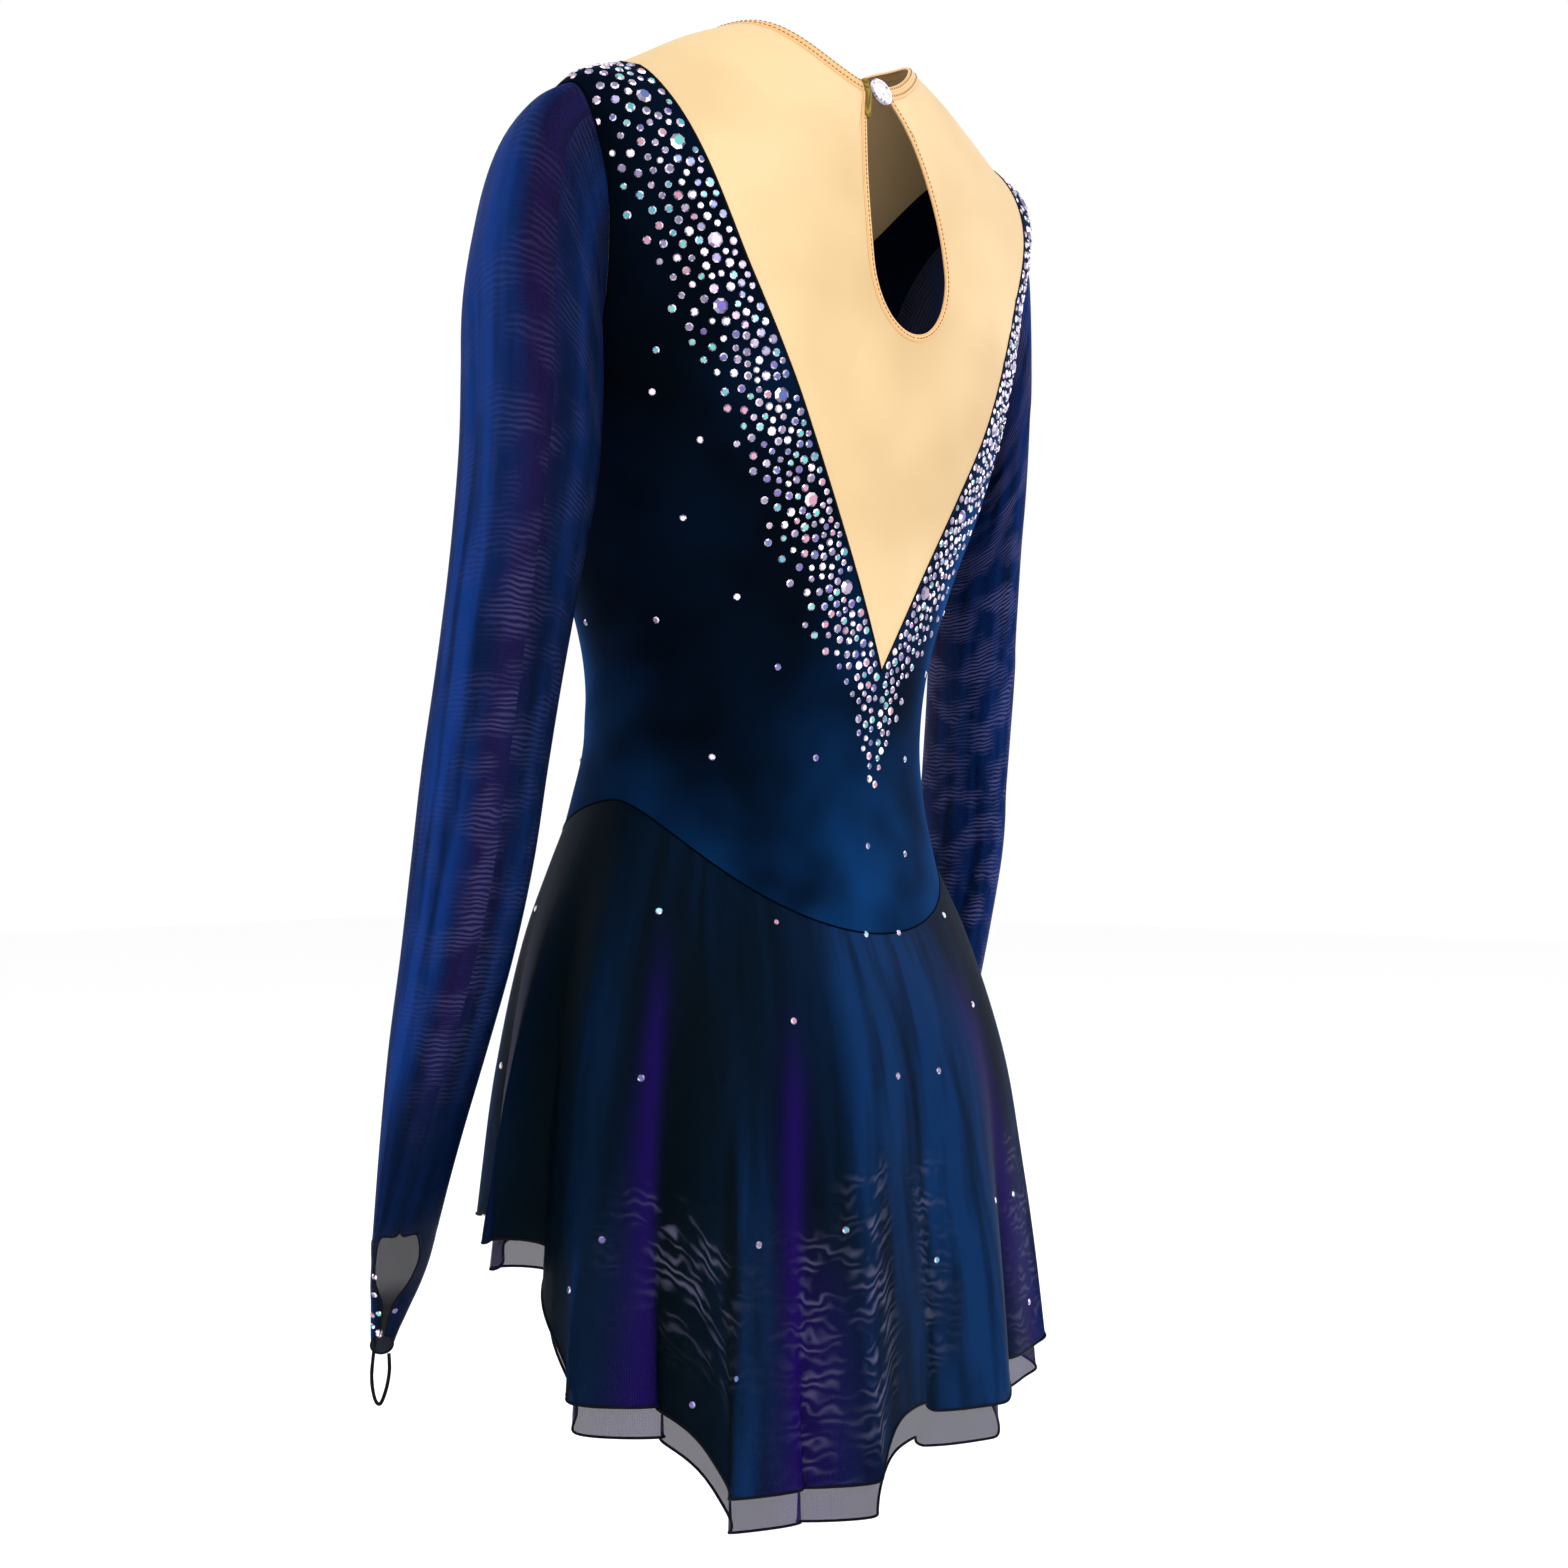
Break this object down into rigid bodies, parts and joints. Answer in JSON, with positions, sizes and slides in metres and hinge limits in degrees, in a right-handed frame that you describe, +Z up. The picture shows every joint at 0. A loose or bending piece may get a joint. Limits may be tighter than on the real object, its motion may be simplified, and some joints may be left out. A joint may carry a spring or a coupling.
{
  "type": "figure skating dress",
  "caption": "Long-sleeved figure skating dress with velvet bodice, nude mesh back with keyhole, and two-layer skirt.",
  "frame": {"origin": "middle of the neck, level with the highest points of the shoulders", "axes": "+X to the wearer's left, -Y to the wearer's front, +Z up"},
  "size_m": [0.4762, 0.2681, 0.7978],
  "materials": {
    "velvet": "navy stretch velvet",
    "nude_mesh": "nude stretch mesh",
    "sleeve_mesh": "sheer blue stretch mesh",
    "skirt_mesh": "sheer navy mesh, two layers",
    "dark_knit": "near-black navy knit",
    "clear_plastic": "pale glossy button",
    "thread": "olive gold thread"
  },
  "bodies": {
    "root": {"bodice_front": "velvet", "bodice_back": "velvet", "yoke_front": "nude_mesh", "yoke_back": "nude_mesh", "neck_binding": "nude_mesh", "keyhole_binding": "nude_mesh", "sleeve_left": "sleeve_mesh", "sleeve_right": "sleeve_mesh", "finger_loop_left": "dark_knit", "finger_loop_right": "dark_knit", "skirt_over_back": "skirt_mesh", "skirt_over_front": "skirt_mesh", "skirt_under_back": "skirt_mesh", "skirt_under_front": "skirt_mesh", "briefs_back": "dark_knit", "briefs_front": "dark_knit", "nape_button": "clear_plastic", "nape_loop": "thread"}
  },
  "joints": []
}
